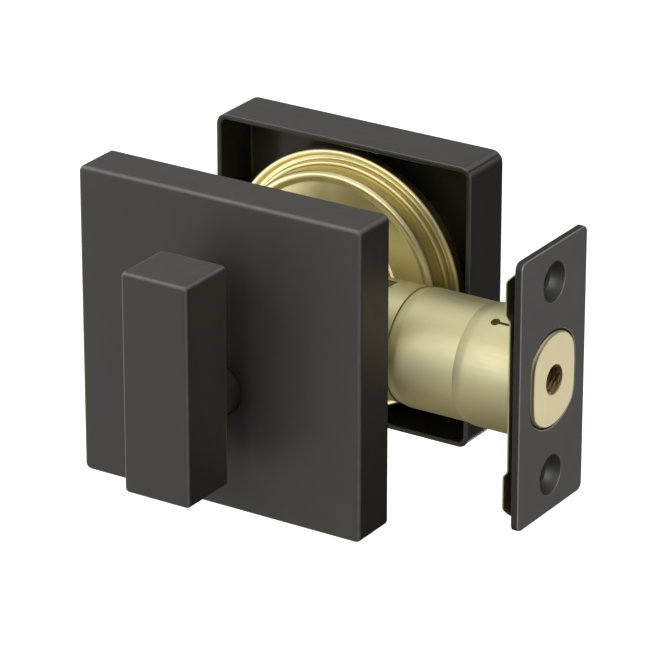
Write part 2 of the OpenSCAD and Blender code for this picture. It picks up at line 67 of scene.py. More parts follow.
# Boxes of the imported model's nodes, as (lowest corner, highest corner)
ROSE_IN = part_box("inner_rose")
ROSE_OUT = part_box("outer_rose")
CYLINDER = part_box("cylinder_housing")
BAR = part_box("thumbturn_bar")
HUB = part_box("thumbturn_hub")
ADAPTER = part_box("bore_adapter")
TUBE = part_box("latch_tube")
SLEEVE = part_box("latch_sleeve")
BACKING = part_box("backing_plate")
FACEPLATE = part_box("faceplate")
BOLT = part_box("bolt")
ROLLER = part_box("bolt_roller")
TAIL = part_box("bolt_tail")

# Heights of the roses' middle and of the spindle
ROSE_Z = (ROSE_IN[0].z + ROSE_IN[1].z) / 2
SPINDLE_Z = (HUB[0].z + HUB[1].z) / 2

# Sizes inside those boxes
ROSE_WALL = 1.2 * MM
ROSE_SKIN = 2 * MM
SCREW_Z = 20.65 * MM
CUP_R = 4.25 * MM
PLATE_T = 1.6 * MM
PLATE_BACK = FACEPLATE[1].x - PLATE_T
BOLT_FLAT = (BOLT[1].y - BOLT[0].y) / 2
BOLT_R = (BOLT[1].z - BOLT[0].z) / 2
BOLT_PLAY = 0.3 * MM
THREAD_R = 2.9 * MM
TUBE_NEST_R = 11.48 * MM
TUBE_BORE_R = 10.3 * MM


# ---- outlines and profiles, as lists of pairs ----

def arc(cx, cy, r, start, end, steps):
    """Points on a circle from start to end degrees, both ends included."""
    angles = [math.radians(start + (end - start) * i / steps) for i in range(steps + 1)]
    return [(cx + r * math.cos(a), cy + r * math.sin(a)) for a in angles]


def quarter_turn(count):
    """Angles from 0 to a quarter turn, in radians."""
    return [math.pi / 2 * i / (count - 1) for i in range(count)]


def round_rect(width, height, radius, corner_steps=8, side_steps=12):
    """Outline of a rectangle with round corners, centred, counter-clockwise from the right side."""
    u, v = width / 2 - radius, height / 2 - radius
    corners = [(u, v), (-u, v), (-u, -v), (u, -v)]
    points = []
    for k, (cu, cv) in enumerate(corners):
        points += arc(cu, cv, radius, 90 * k, 90 * k + 90, corner_steps)
        last_u, last_v = points[-1]
        next_u, next_v = corners[(k + 1) % 4]
        for i in range(1, side_steps):
            s = i / side_steps
            points.append((last_u + (next_u - cu) * s, last_v + (next_v - cv) * s))
    return points


def circle_like(outline, radius):
    """A circle with one point on each ray from the centre through the outline's points."""
    return [(radius * u / math.hypot(u, v), radius * v / math.hypot(u, v)) for u, v in outline]


def circle(radius, count):
    """Points evenly round a circle."""
    return [(radius * math.cos(TURN * i / count), radius * math.sin(TURN * i / count))
            for i in range(count)]


def bolt_outline(grow=0.0):
    """Outline of the bolt's section: a circle with two flats and softened corners."""
    radius, flat = BOLT_R + grow, BOLT_FLAT + grow
    steps, sharpness = 128, 14
    points = []
    for i in range(steps):
        angle = TURN * i / steps
        across = abs(math.cos(angle)) / flat
        reach = (across ** sharpness + radius ** -sharpness) ** (-1 / sharpness)
        points.append((reach * math.cos(angle), reach * math.sin(angle)))
    return points


# ---- meshes built from rings of points ----

class Skin:
    """A closed mesh made of rings that are joined side by side and capped."""

    def __init__(self, place):
        self.bm = bmesh.new()
        self.place = place

    def ring(self, outline, depth):
        """Adds an outline's points at a depth."""
        return [self.bm.verts.new(self.place(u, v, depth)) for u, v in outline]

    def join(self, a, b):
        """Adds the faces between two rings with the same number of points."""
        for i in range(len(a)):
            j = (i + 1) % len(a)
            self.bm.faces.new((a[i], a[j], b[j], b[i]))

    def strip(self, rings, closed=False):
        """Joins each ring to the next, and the last to the first if the strip is closed."""
        pairs = list(zip(rings, rings[1:]))
        if closed:
            pairs.append((rings[-1], rings[0]))
        for a, b in pairs:
            self.join(a, b)
        return rings

    def cap(self, *rings):
        """Fills the flat area inside the first ring and outside the others."""
        edges = []
        for ring in rings:
            for i in range(len(ring)):
                edges.append(self.bm.edges.get((ring[i], ring[i - 1])))
        bmesh.ops.triangle_fill(self.bm, use_beauty=True, edges=edges)

    def piece(self, name, sharp=35):
        """Turns the skin into an object."""
        bmesh.ops.recalc_face_normals(self.bm, faces=self.bm.faces)
        mesh = bpy.data.meshes.new(name)
        self.bm.to_mesh(mesh)
        self.bm.free()
        return shown(name, mesh, sharp)


def smooth(mesh, sharp=35):
    """Smooth shading, with sharp edges where faces turn by more than an angle."""
    mesh.shade_smooth()
    mesh.set_sharp_from_angle(angle=math.radians(sharp))


def shown(name, mesh, sharp):
    """Adds a mesh to the scene as an object."""
    smooth(mesh, sharp)
    piece = bpy.data.objects.new(name, mesh)
    bpy.context.scene.collection.objects.link(piece)
    return piece


def weighted(piece):
    """Flat faces stay flat where they meet a rounded edge."""
    modifier = piece.modifiers.new("weighted", "WEIGHTED_NORMAL")
    modifier.keep_sharp = True
    return piece


def along_y(z):
    """Places outline points in X and Z round (0, z), with depth along Y."""
    return lambda u, v, depth: Vector((u, depth, z + v))


def along_x(y=0.0, z=0.0):
    """Places outline points in Y and Z, with depth along X."""
    return lambda u, v, depth: Vector((depth, y + u, z + v))


def along_z(u, v, depth):
    """Places outline points in X and Y, with depth along Z."""
    return Vector((u, v, depth))


def lathe(name, profile, place, count=144, sharp=35):
    """Turns a closed profile of (radius, depth) pairs round an axis."""
    skin = Skin(place)
    skin.strip([skin.ring(circle(r, count), depth) for r, depth in profile], closed=True)
    return skin.piece(name, sharp)


def cut(piece, *cutters):
    """Cuts closed solids out of a piece and removes them."""
    for cutter in cutters:
        modifier = piece.modifiers.new("cut", "BOOLEAN")
        modifier.operation = "DIFFERENCE"
        modifier.solver = "EXACT"
        modifier.object = cutter
        graph = bpy.context.evaluated_depsgraph_get()
        mesh = bpy.data.meshes.new_from_object(piece.evaluated_get(graph))
        piece.modifiers.clear()
        piece.data = mesh
        bpy.data.objects.remove(cutter)


def prism(name, place, outline, low, high):
    """A closed solid with one outline from a low to a high depth."""
    skin = Skin(place)
    rings = skin.strip([skin.ring(outline, low), skin.ring(outline, high)])
    skin.cap(rings[0])
    skin.cap(rings[1])
    return skin.piece(name)


# ---- materials ----

def new_material(name, base, metallic, roughness, **sockets):
    """A material and its shader. A socket's name is written with _ for each space."""
    material = bpy.data.materials.new(name)
    material.use_nodes = True
    shader = material.node_tree.nodes["Principled BSDF"]
    shader.inputs["Base Color"].default_value = (*base, 1)
    shader.inputs["Metallic"].default_value = metallic
    shader.inputs["Roughness"].default_value = roughness
    for socket, value in sockets.items():
        shader.inputs[socket.replace("_", " ")].default_value = value
    return material, shader


class Nodes:
    """Short calls for the nodes that the materials share."""

    def __init__(self, owner, coordinates="Object"):
        self.tree = owner.node_tree
        self.at = self.make("ShaderNodeTexCoord").outputs[coordinates]

    def make(self, kind, **settings):
        """Adds a node."""
        node = self.tree.nodes.new(kind)
        for key, value in settings.items():
            setattr(node, key, value)
        return node

    def link(self, source, target):
        """Joins an output to an input."""
        self.tree.links.new(source, target)

    def noise(self, scale, detail=3.0, stretch=(1, 1, 1)):
        """Noise over the object's own coordinates. Scale is in features per metre."""
        mapping = self.make("ShaderNodeMapping")
        mapping.inputs["Scale"].default_value = stretch
        self.link(self.at, mapping.inputs["Vector"])
        node = self.make("ShaderNodeTexNoise")
        node.inputs["Scale"].default_value = scale
        node.inputs["Detail"].default_value = detail
        self.link(mapping.outputs["Vector"], node.inputs["Vector"])
        return node.outputs["Fac"]

    def math(self, operation, a, b=0.0):
        """A maths node's result. Each of the two values is a number or a socket."""
        node = self.make("ShaderNodeMath", operation=operation)
        for value, socket in zip((a, b), node.inputs):
            if isinstance(value, (int, float)):
                socket.default_value = value
            else:
                self.link(value, socket)
        return node.outputs[0]

    def spread(self, value, low, high, from_low=0.3, from_high=0.7):
        """Maps a value to a new range."""
        node = self.make("ShaderNodeMapRange")
        node.inputs["From Min"].default_value = from_low
        node.inputs["From Max"].default_value = from_high
        node.inputs["To Min"].default_value = low
        node.inputs["To Max"].default_value = high
        self.link(value, node.inputs["Value"])
        return node.outputs["Result"]

    def blend(self, factor, a, b):
        """Mixes two colours; each is a triple or a socket."""
        node = self.make("ShaderNodeMix", data_type="RGBA")
        self.link(factor, node.inputs["Factor"])
        for value, socket in ((a, node.inputs["A"]), (b, node.inputs["B"])):
            if isinstance(value, tuple):
                socket.default_value = (*value, 1)
            else:
                self.link(value, socket)
        return node.outputs["Result"]

    def ramp(self, value, *stops):
        """Colour that follows a value through (position, colour) stops."""
        node = self.make("ShaderNodeValToRGB")
        node.color_ramp.interpolation = "EASE"
        elements = node.color_ramp.elements
        while len(elements) < len(stops):
            elements.new(0.5)
        for element, (position, colour) in zip(elements, stops):
            element.position = position
            element.color = (*colour, 1)
        self.link(value, node.inputs["Fac"])
        return node.outputs["Color"]

    def dot(self, direction):
        """How far the coordinate lies along a direction."""
        node = self.make("ShaderNodeVectorMath", operation="DOT_PRODUCT")
        self.link(self.at, node.inputs[0])
        node.inputs[1].default_value = direction
        return node.outputs["Value"]

    def inside(self, distance, limit):
        """1 where the distance is below the limit, with a thin soft edge."""
        return self.spread(distance, 1.0, 0.0, limit - 0.02 * MM, limit + 0.02 * MM)

    def axes(self, vector):
        """The X, Y and Z parts of a vector."""
        parts = self.make("ShaderNodeSeparateXYZ")
        self.link(vector, parts.inputs["Vector"])
        return [parts.outputs[axis] for axis in "XYZ"]

    def own_normal(self):
        """The piece's normal in its own axes."""
        return self.make("ShaderNodeTexCoord").outputs["Normal"]

    def size(self, value):
        """The value without its sign."""
        return self.math("ABSOLUTE", value)

    def squared(self, value):
        """The value times itself."""
        return self.math("MULTIPLY", value, value)

    def bump(self, shader, height, strength, distance):
        """Fine relief on the shader's surface."""
        node = self.make("ShaderNodeBump")
        node.inputs["Strength"].default_value = strength
        node.inputs["Distance"].default_value = distance
        self.link(height, node.inputs["Height"])
        self.link(node.outputs["Normal"], shader.inputs["Normal"])

    def corners(self):
        """0 where a box's face is flat and 1 along its rounded edges, from the piece's own normals."""
        x, y, z = (self.size(part) for part in self.axes(self.own_normal()))
        largest = self.math("MAXIMUM", self.math("MAXIMUM", x, y), z)
        return self.spread(largest, 1.0, 0.0, 0.8, 0.985)


def shaded_plate(nodes):
    """Painted shade: 1 on the faceplate's thin sides and in its two countersinks, and 0 on its face.
    """
    facing_edge = nodes.size(nodes.axes(nodes.own_normal())[0])
    side = nodes.spread(facing_edge, 1.0, 0.0, 0.15, 0.6)
    _, y, z = nodes.axes(nodes.at)
    from_screw = nodes.math("SUBTRACT", nodes.size(z), SCREW_Z)
    squares = nodes.math("ADD", nodes.squared(from_screw), nodes.squared(y))
    soft = 0.1 * MM
    in_cup = nodes.spread(squares, 1.0, 0.0, (CUP_R - soft) ** 2, (CUP_R + soft) ** 2)
    return nodes.math("MAXIMUM", side, in_cup)


def rose_hollow_shade(nodes):
    """Painted shade: 1 on the exterior rose's inner faces and open rim, and 0 on its outer faces."""
    low, high = ROSE_OUT
    half = (high.x - low.x) / 2
    x, y, z = nodes.axes(nodes.at)
    reach = nodes.math("MAXIMUM", nodes.size(x), nodes.size(nodes.math("SUBTRACT", z, ROSE_Z)))
    within = nodes.spread(reach, 1.0, 0.0, half - 0.7 * MM, half - 0.35 * MM)
    behind_face = nodes.spread(y, 1.0, 0.0, high.y - 1.4 * MM, high.y - 1.0 * MM)
    return nodes.math("MULTIPLY", within, behind_face)


def dark_finish(name, base, roughness=0.42, painted_edge_highlight=None, shade=None):
    """Satin powder coat: fine orange peel, faint mottling, and a painted highlight along the rounded
    edges of square pieces.

    shade is (mask, colour, gloss): the surfaces with painted shade, its colour, and what it adds
    to the roughness.
    """
    material, shader = new_material(name, base, 0.0, roughness)
    nodes = Nodes(material)
    mottle = nodes.spread(nodes.noise(90, 4), 0.0, 1.0)
    darker = tuple(0.95 * c for c in base)
    paler = tuple(1.05 * c for c in base)
    colour = nodes.blend(mottle, darker, paler)
    if painted_edge_highlight:
        # painted highlight: the base colour turns paler along rounded edges, in patches
        edge_highlight_mask = nodes.math("MULTIPLY", nodes.corners(), nodes.spread(nodes.noise(300, 2), 0.75, 1.0))
        colour = nodes.blend(edge_highlight_mask, colour, painted_edge_highlight)
    gloss = nodes.spread(nodes.noise(250, 3), roughness - 0.04, roughness + 0.04)
    if shade:
        mask_of, shade_colour, shade_gloss = shade
        mask = mask_of(nodes)
        # painted shade: the masked surfaces take the darker shade colour
        colour = nodes.blend(mask, colour, shade_colour)
        gloss = nodes.math("ADD", gloss, nodes.math("MULTIPLY", mask, shade_gloss))
    nodes.link(colour, shader.inputs["Base Color"])
    nodes.link(gloss, shader.inputs["Roughness"])
    nodes.bump(shader, nodes.noise(2600, 2), 0.06, 0.03 * MM)
    return material


def satin_metal(name, base, roughness, grain=(1, 1, 1), grain_scale=1500, tint=0.95, relief=0.03):
    """Plated metal: fine grain drawn out along one direction, cloudy tone and tiny bumps."""
    material, shader = new_material(name, base, 1.0, roughness)
    nodes = Nodes(material)
    cloud = nodes.spread(nodes.noise(60, 3), 0.0, 1.0)
    colour = nodes.blend(cloud, tuple(tint * c for c in base), base)
    nodes.link(colour, shader.inputs["Base Color"])
    lines = nodes.noise(grain_scale, 3, grain)
    nodes.link(nodes.spread(lines, roughness - 0.04, roughness + 0.04), shader.inputs["Roughness"])
    if relief:
        nodes.bump(shader, lines, relief, 0.005 * MM)
    return material


def bolt_metal(name, base, hole_shade_colour):
    """The bolt's brass, with painted shade, darker and browner, inside the threaded hole."""
    material = satin_metal(name, base, 0.36, grain=GRAIN_Z)
    shader = material.node_tree.nodes["Principled BSDF"]
    nodes = Nodes(material)
    off_axis = nodes.make("ShaderNodeVectorMath", operation="MULTIPLY")
    off_axis.inputs[1].default_value = (0, 1, 1)
    nodes.link(nodes.at, off_axis.inputs[0])
    radius = nodes.make("ShaderNodeVectorMath", operation="LENGTH")
    nodes.link(off_axis.outputs["Vector"], radius.inputs[0])
    # painted shade inside the threaded hole
    in_hole = nodes.inside(radius.outputs["Value"], THREAD_R + 0.15 * MM)
    plain = shader.inputs["Base Color"].links[0].from_socket
    nodes.link(nodes.blend(in_hole, plain, hole_shade_colour), shader.inputs["Base Color"])
    return material


def nylon():
    """Moulded nylon: pale, slightly translucent, with a soft sheen and a fine texture."""
    base, shadow = (0.68, 0.66, 0.58), (0.62, 0.60, 0.52)
    material, shader = new_material("nylon", base, 0.0, 0.45, Subsurface_Weight=0.1)
    nodes = Nodes(material)
    cloud = nodes.spread(nodes.noise(150), 0, 1)
    nodes.link(nodes.blend(cloud, shadow, base), shader.inputs["Base Color"])
    nodes.bump(shader, nodes.noise(1800), 0.1, 0.05 * MM)
    return material


DARK = (0.061, 0.0602, 0.0585)
# Colour of the painted highlight along rounded edges
PAINTED_EDGE_HIGHLIGHT = (0.19, 0.187, 0.181)
# Colour of the weaker painted highlight along the faceplate's edges
PAINTED_PLATE_EDGE_HIGHLIGHT = (0.16, 0.158, 0.154)
# Colour of the painted shade on the faceplate's thin sides and in its countersinks
PAINTED_PLATE_SHADE = (0.012, 0.0118, 0.0114)
# Colour of the painted shade, dark olive, inside the exterior rose and on its open rim
PAINTED_HOLLOW_SHADE = (0.036, 0.036, 0.02)
BRASS = (0.70, 0.63, 0.36)
BOLT_BRASS = (0.78, 0.69, 0.42)
# Colour of the painted shade inside the bolt's threaded hole
PAINTED_HOLE_SHADE = (0.36, 0.22, 0.10)
PLUG_BRASS = (0.72, 0.60, 0.33)
ZINC = (0.68, 0.64, 0.40)
STEEL = (0.55, 0.55, 0.53)
BLACK_STEEL = (0.06, 0.06, 0.065)

# Grain drawn out along one axis
GRAIN_X = (0.15, 1, 1)
GRAIN_Y = (1, 0.1, 1)
GRAIN_Z = (1, 1, 0.1)

MATERIALS = {
    "dark_finish": dark_finish("dark_finish", DARK),
    "yellow_zinc": satin_metal("yellow_zinc", ZINC, 0.48, grain=GRAIN_X),
    "zinc_case": satin_metal("zinc_case", ZINC, 0.42, grain_scale=900, tint=0.8),
    "satin_brass": satin_metal("satin_brass", BRASS, 0.34, grain_scale=400, tint=0.97, relief=0),
    "bolt_brass": bolt_metal("bolt_brass", BOLT_BRASS, PAINTED_HOLE_SHADE),
    "cylinder_brass": satin_metal("cylinder_brass", BRASS, 0.32, GRAIN_Y, 500, relief=0),
    "plug_brass": satin_metal("plug_brass", PLUG_BRASS, 0.26, GRAIN_Y, 500, relief=0),
    "steel": satin_metal("steel", STEEL, 0.3, grain_scale=900),
    "black_steel": satin_metal("black_steel", BLACK_STEEL, 0.4, grain_scale=700),
    "nylon": nylon(),
}
SQUARE_FINISH_PAINTED_HIGHLIGHT = dark_finish("square_dark_finish_painted_highlight", DARK, painted_edge_highlight=PAINTED_EDGE_HIGHLIGHT)
PLATE_FINISH_PAINTED_LIGHT = dark_finish("plate_dark_finish_painted_light", DARK, painted_edge_highlight=PAINTED_PLATE_EDGE_HIGHLIGHT,
                           shade=(shaded_plate, PAINTED_PLATE_SHADE, 0.12))
HOLLOW_FINISH_PAINTED_LIGHT = dark_finish("hollow_dark_finish_painted_light", DARK, painted_edge_highlight=PAINTED_EDGE_HIGHLIGHT,
                            shade=(rose_hollow_shade, PAINTED_HOLLOW_SHADE, -0.2))


def place(piece, body, slot_name, *replaced, look=None):
    """Gives a new piece its material and its body, and hides the CAD nodes that it stands for."""
    piece.data.materials.clear()
    piece.data.materials.append(look or MATERIALS[slot_name])
    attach(piece, body)
    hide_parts(*replaced)


# ---- the carried-over CAD nodes ----

def dress_cad_nodes():
    """Every CAD node gets its slot's material and slightly broken edges."""
    for row in frame["record"]["subparts"]:
        node = frame["nodes"][row["node"]]
        for material_slot in node.material_slots:
            material_slot.material = MATERIALS[row["material_slot"]]
        weld = node.modifiers.new("weld", "WELD")
        weld.merge_threshold = 0.001 * MM
        bevel = node.modifiers.new("bevel", "BEVEL")
        bevel.width = 0.12 * MM
        bevel.segments = 2
        bevel.limit_method = "ANGLE"
        bevel.angle_limit = math.radians(40)
        bevel.use_clamp_overlap = True
        weighted(node)


# ---- trim ----

def cover(name, low, high, front, corner, hole_r, hole_z):
    """A hollow square cover. front is -1 if its face looks along -Y and 1 if it looks along +Y."""
    edge, inner, lip = 0.95 * MM, 0.6 * MM, 0.2 * MM
    side = high.x - low.x
    depth = high.y - low.y
    rim_y = high.y if front < 0 else low.y
    mid_z = (low.z + high.z) / 2
    skin = Skin(lambda u, v, t: Vector((u, rim_y + front * t, mid_z + v)))

    def square(inset, t):
        radius = max(corner - inset, inner)
        return skin.ring(round_rect(side - 2 * inset, side - 2 * inset, radius), t)

    def hole(radius, t):
        points = circle_like(round_rect(side, side, corner), radius)
        return skin.ring([(u, v + hole_z - mid_z) for u, v in points], t)

    outer = [(lip, 0.0), (0.4 * lip, 0.4 * lip), (0.0, lip)]
    outer += [(edge - edge * math.cos(a), depth - edge + edge * math.sin(a))
              for a in quarter_turn(7)]
    rings = [square(inset, t) for inset, t in outer]
    rings.append(square(4 * edge, depth))
    rings += [hole(hole_r + lip - lip * math.sin(a), depth - lip + lip * math.cos(a))
              for a in quarter_turn(4)]
    floor_t = depth - ROSE_SKIN
    rings.append(hole(hole_r, floor_t + lip))
    rings.append(hole(hole_r + lip, floor_t))
    wall = ROSE_WALL
    rings.append(square(wall + 4 * inner, floor_t))
    rings += [square(wall + inner - inner * math.sin(a), floor_t - inner + inner * math.cos(a))
              for a in quarter_turn(5)]
    rings += [square(wall, lip), square(wall - 0.4 * lip, 0.4 * lip), square(wall - lip, 0.0)]
    skin.strip(rings, closed=True)
    return weighted(skin.piece(name))


def make_roses():
    """The two square covers. The brass parts don't mirror the interior one's dark back."""
    front_corner, back_corner = 1.4 * MM, 2.5 * MM
    hub_hole, guard_hole = (HUB[1].x - HUB[0].x) / 2 + 0.3 * MM, 19.5 * MM
    front = cover("interior_rose", *ROSE_IN, -1, front_corner, hub_hole, SPINDLE_Z)
    front.visible_glossy = False
    place(front, "lock", "dark_finish", "inner_rose", look=SQUARE_FINISH_PAINTED_HIGHLIGHT)
    back = cover("exterior_rose", *ROSE_OUT, 1, back_corner, guard_hole, ROSE_Z)
    place(back, "lock", "dark_finish", "outer_rose", look=HOLLOW_FINISH_PAINTED_LIGHT)


def make_bar():
    """The grip: a square bar with softly rounded edges and corners."""
    low, high = BAR
    width, height = high.x - low.x, high.z - low.z
    edge, corner, least = 0.85 * MM, 1.0 * MM, 0.12 * MM
    skin = Skin(along_y((low.z + high.z) / 2))

    def ring(inset, y):
        radius = max(corner - 0.9 * inset, least)
        outline = round_rect(width - 2 * inset, height - 2 * inset, radius, 5, 6)
        return skin.ring(outline, y)

    front = [ring(edge - edge * math.sin(a), low.y + edge - edge * math.cos(a))
             for a in quarter_turn(6)]
    back = [ring(edge - edge * math.cos(a), high.y - edge + edge * math.sin(a))
            for a in quarter_turn(6)]
    rings = skin.strip(front + back)
    skin.cap(rings[0])
    skin.cap(rings[-1])
    bar = weighted(skin.piece("grip_bar"))
    place(bar, "thumbturn", "dark_finish", "thumbturn_bar", look=SQUARE_FINISH_PAINTED_HIGHLIGHT)


# ---- adapter behind the exterior rose ----

def make_adapter():
    """Stepped round adapter: dished face inside a thick bead, a thin ring and a rounded rim."""
    face_y, back_y = ADAPTER[0].y, ADAPTER[1].y
    rim_r = (ADAPTER[1].x - ADAPTER[0].x) / 2
    boss_r = rim_r - 3.4 * MM
    bore_r = 15.45 * MM
    bead, soft = 0.95 * MM, 0.3 * MM
    dish_y = face_y + 0.6 * MM
    ring_y, rim_y, groove_y = (back_y - drop * MM for drop in (2.9, 2.6, 1.3))
    ring_half, rim_half = 0.45 * MM, 0.7 * MM
    bead_r, ring_r = boss_r - bead, boss_r + 0.45 * MM
    profile = [(bore_r, back_y - 0.2 * MM), (bore_r, dish_y + soft)]
    profile += arc(bore_r + soft, dish_y + soft, soft, 180, 270, 4)[1:]
    profile += arc(bead_r - 1.6 * MM, dish_y - 0.8 * MM, 0.8 * MM, 90, 50, 4)
    profile += arc(bead_r, face_y + bead, bead, 232, 360, 16)
    profile += [(boss_r, ring_y + 0.1 * MM)]
    profile += arc(ring_r, ring_y + ring_half, ring_half, 200, 360, 12)
    profile += arc(ring_r + ring_half + soft, groove_y - soft, soft, 180, 90, 4)
    profile += arc(rim_r - 2 * rim_half - soft, groove_y - soft, soft, 90, 0, 4)
    profile += arc(rim_r - rim_half, rim_y + rim_half, rim_half, 180, 360, 14)
    profile += [(rim_r, back_y - soft), (rim_r - soft, back_y), (bore_r + 0.2 * MM, back_y)]
    disc = lathe("stepped_adapter", profile, along_y(ROSE_Z), 192, 40)
    place(disc, "lock", "satin_brass", "bore_adapter")


# ---- latch ----

def make_tube():
    """Tube behind the collar: a soft shoulder at its inner end, and a nest inside the collar."""
    radius = (TUBE[1].z - TUBE[0].z) / 2
    start, end = TUBE[0].x, TUBE[1].x
    collar_x = SLEEVE[0].x
    spigot_r, spigot_end = 11.12 * MM, start + 5.5 * MM
    # (drop below the tube's surface, distance from its start), in millimetres
    shoulder = [(0.85, 0.0), (0.66, 0.06), (0.56, 0.2), (0.5, 0.45), (0.3, 1.2), (0.1, 2.0),
                (0.02, 2.5), (0.0, 3.0)]
    profile = [(spigot_r, start + 0.1 * MM), (spigot_r + 0.15 * MM, start)]
    profile += [(radius - drop * MM, start + along * MM) for drop, along in shoulder]
    nest_x = collar_x + 0.1 * MM
    profile += [(radius, nest_x), (TUBE_NEST_R, nest_x), (TUBE_NEST_R, end), (TUBE_BORE_R, end)]
    profile += [(TUBE_BORE_R, spigot_end), (spigot_r, spigot_end)]
    barrel = lathe("latch_barrel", profile, along_x())
    place(barrel, "lock", "yellow_zinc", "latch_tube")
    return barrel


def make_collar(barrel):
    """Collar rolled from sheet: soft step at its start, and a seam that ends in a small round hole.

    The seam is cut through the barrel under it as well, so that it looks into the dark.
    """
    radius = (SLEEVE[1].z - SLEEVE[0].z) / 2
    inner_r = TUBE_NEST_R + 0.02 * MM
    start, end = SLEEVE[0].x, SLEEVE[1].x
    # (drop below the collar's surface, distance from its start), in millimetres
    step = [(0.4, 0.0), (0.33, 0.3), (0.22, 0.9), (0.1, 1.6), (0.03, 2.1), (0.0, 2.6)]
    profile = [(inner_r, start + 0.1 * MM)]
    profile += [(radius - drop * MM, start + along * MM) for drop, along in step]
    profile += [(radius, end - 0.25 * MM), (radius - 0.1 * MM, end), (inner_r, end)]
    collar = lathe("latch_collar", profile, along_x())
    tilt = math.radians(23)
    seam_x = start + 5.5 * MM
    radial = Vector((0, -math.sin(tilt), math.cos(tilt)))
    across = Vector((0, math.cos(tilt), math.sin(tilt)))
    ahead = Vector((1, 0, 0))
    hole_r, slit_half, overrun = 0.95 * MM, 0.3 * MM, 1 * MM
    outline = [(seam_x + u, v) for u, v in arc(0, 0, hole_r, 20, 340, 24)]
    outline += [(end + overrun, -slit_half), (end + overrun, slit_half)]
    for piece in (collar, barrel):
        cutter = prism("seam_cutter", lambda u, v, depth: ahead * u + across * v + radial * depth,
                       outline, TUBE_BORE_R - overrun, radius + overrun)
        cut(piece, cutter)
        smooth(piece.data)
    place(collar, "lock", "yellow_zinc", "latch_sleeve")


def make_faceplate():
    """Plate on the door's edge, with the bolt's opening and two pressed, countersunk cups."""
    front_x, back_x = FACEPLATE[1].x, PLATE_BACK
    width = FACEPLATE[1].y - FACEPLATE[0].y
    height = FACEPLATE[1].z - FACEPLATE[0].z
    corner, edge, mouth = 1.6 * MM, 0.35 * MM, 0.2 * MM
    skin = Skin(along_x())

    def rim(inset, x):
        outline = round_rect(width - 2 * inset, height - 2 * inset, corner - inset, 8, 8)
        return skin.ring(outline, x)

    outside = [rim(edge - edge * math.sin(a), front_x - edge + edge * math.cos(a))
               for a in quarter_turn(5)]
    outside += [rim(0.0, back_x + 0.1 * MM), rim(0.1 * MM, back_x)]
    skin.strip(outside)
    inside = [skin.ring(bolt_outline(grow), x) for grow, x in
              ((BOLT_PLAY + mouth, front_x), (BOLT_PLAY, front_x - mouth), (BOLT_PLAY, back_x))]
    skin.strip(inside)
    # (radius, depth below the plate's face), in millimetres, from the face round to the back
    cup = [(4.4, 0.0), (4.26, 0.05), (4.15, 0.18), (3.7, 1.0), (3.0, 1.8), (2.5, 2.2), (2.24, 2.4),
           (2.2, 2.6), (2.2, 3.1), (2.35, 3.24), (2.7, 3.3), (3.2, 3.3), (3.7, 3.12), (4.5, 2.5),
           (5.1, 1.98), (5.45, 1.72), (5.7, 1.6)]
    holes_front, holes_back = [], []
    for z in (-SCREW_Z, SCREW_Z):
        skin.place = along_x(0, z)
        rings = skin.strip([skin.ring(circle(r * MM, 64), front_x - d * MM) for r, d in cup])
        holes_front.append(rings[0])
        holes_back.append(rings[-1])
    skin.cap(outside[0], inside[0], *holes_front)
    skin.cap(outside[-1], inside[-1], *holes_back)
    plate = weighted(skin.piece("edge_plate"))
    place(plate, "lock", "dark_finish", "faceplate", look=PLATE_FINISH_PAINTED_LIGHT)


def sheet_gap(z):
    """Gap between the faceplate and the formed sheet at a height, smooth between its bends."""
    # (height from the middle, gap), in millimetres
    bends = [(15.7, 0.8), (17.3, 1.75), (24.0, 1.75), (26.4, 0.05)]
    height = abs(z) / MM
    if height <= bends[0][0]:
        return bends[0][1] * MM
    for (z0, gap0), (z1, gap1) in zip(bends, bends[1:]):
        if height <= z1:
            s = (height - z0) / (z1 - z0)
            return (gap0 + (gap1 - gap0) * s * s * (3 - 2 * s)) * MM
    return bends[-1][1] * MM


def make_backing_plate():
    """Thin formed sheet behind the faceplate: it steps back round the two cups."""
    half_w = (BACKING[1].y - BACKING[0].y) / 2
    half_h = (BACKING[1].z - BACKING[0].z) / 2
    thick, corner, soft, hole_r = 0.4 * MM, 3 * MM, 0.1 * MM, 2 * MM
    rows = 176
    skin = Skin(along_z)
    rings = []
    for i in range(rows + 1):
        z = -half_h + 2 * half_h * i / rows
        over = max(0.0, abs(z) - half_h + corner)
        half = half_w - corner + math.sqrt(corner * corner - over * over)
        front = PLATE_BACK - sheet_gap(z)
        back = front - thick
        rings.append(skin.ring([(front, -half + soft), (front, half - soft), (front - soft, half),
                                (back + soft, half), (back, half - soft), (back, -half + soft),
                                (back + soft, -half), (front - soft, -half)], z))
    skin.strip(rings)
    skin.cap(rings[0])
    skin.cap(rings[-1])
    sheet = skin.piece("backing_strip")
    openings = (("opening", bolt_outline(BOLT_PLAY), 0),
                ("low_hole", circle(hole_r, 48), -SCREW_Z),
                ("high_hole", circle(hole_r, 48), SCREW_Z))
    cut(sheet, *[prism(name, along_x(0, z), outline, BACKING[0].x - PLATE_T, PLATE_BACK)
                 for name, outline, z in openings])
    smooth(sheet.data)
    place(sheet, "lock", "yellow_zinc", "backing_plate")


